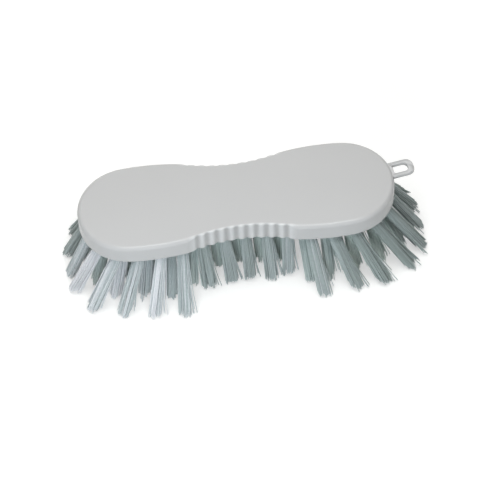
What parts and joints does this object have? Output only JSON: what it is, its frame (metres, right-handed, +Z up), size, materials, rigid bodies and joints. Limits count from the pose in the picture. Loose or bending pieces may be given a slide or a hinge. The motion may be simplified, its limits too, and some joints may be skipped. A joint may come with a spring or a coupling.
{
  "type": "masonry brush",
  "caption": "Waisted white plastic scrubbing brush with a fluted finger grip, a moulded hanging loop and splayed tufts of stiff bristle trimmed level.",
  "frame": {"origin": "middle of the level plane that the bristle tips stand on, under the middle of the block", "axes": "+X along the block towards the hanging loop, +Y across it, +Z up from the bristle tips to the block's flat top"},
  "size_m": [0.2374, 0.1012, 0.0574],
  "materials": {
    "block_plastic": "white moulded polypropylene, smooth satin sheen",
    "bristle": "straight stiff translucent white filament, cut square at the tips"
  },
  "bodies": {
    "root": {"brush_block": "block_plastic", "tuft_outer_01": "bristle", "tuft_outer_02": "bristle", "tuft_outer_03": "bristle", "tuft_outer_04": "bristle", "tuft_outer_05": "bristle", "tuft_outer_06": "bristle", "tuft_outer_07": "bristle", "tuft_outer_08": "bristle", "tuft_outer_09": "bristle", "tuft_outer_10": "bristle", "tuft_outer_11": "bristle", "tuft_outer_12": "bristle", "tuft_outer_13": "bristle", "tuft_outer_14": "bristle", "tuft_outer_15": "bristle", "tuft_outer_16": "bristle", "tuft_outer_17": "bristle", "tuft_outer_18": "bristle", "tuft_outer_19": "bristle", "tuft_outer_20": "bristle", "tuft_outer_21": "bristle", "tuft_outer_22": "bristle", "tuft_outer_23": "bristle", "tuft_outer_24": "bristle", "tuft_outer_25": "bristle", "tuft_outer_26": "bristle", "tuft_outer_27": "bristle", "tuft_outer_28": "bristle", "tuft_outer_29": "bristle", "tuft_outer_30": "bristle", "tuft_outer_31": "bristle", "tuft_outer_32": "bristle", "tuft_inner_01": "bristle", "tuft_inner_02": "bristle", "tuft_inner_03": "bristle", "tuft_inner_04": "bristle", "tuft_inner_05": "bristle", "tuft_inner_06": "bristle", "tuft_inner_07": "bristle", "tuft_inner_08": "bristle", "tuft_inner_09": "bristle", "tuft_inner_10": "bristle", "tuft_inner_11": "bristle", "tuft_inner_12": "bristle", "tuft_inner_13": "bristle", "tuft_inner_14": "bristle", "tuft_inner_15": "bristle", "tuft_inner_16": "bristle", "tuft_inner_17": "bristle", "tuft_inner_18": "bristle", "tuft_inner_19": "bristle", "tuft_inner_20": "bristle", "tuft_inner_21": "bristle", "tuft_inner_22": "bristle", "tuft_inner_23": "bristle", "tuft_inner_24": "bristle", "tuft_inner_25": "bristle", "tuft_inner_26": "bristle"}
  },
  "joints": []
}
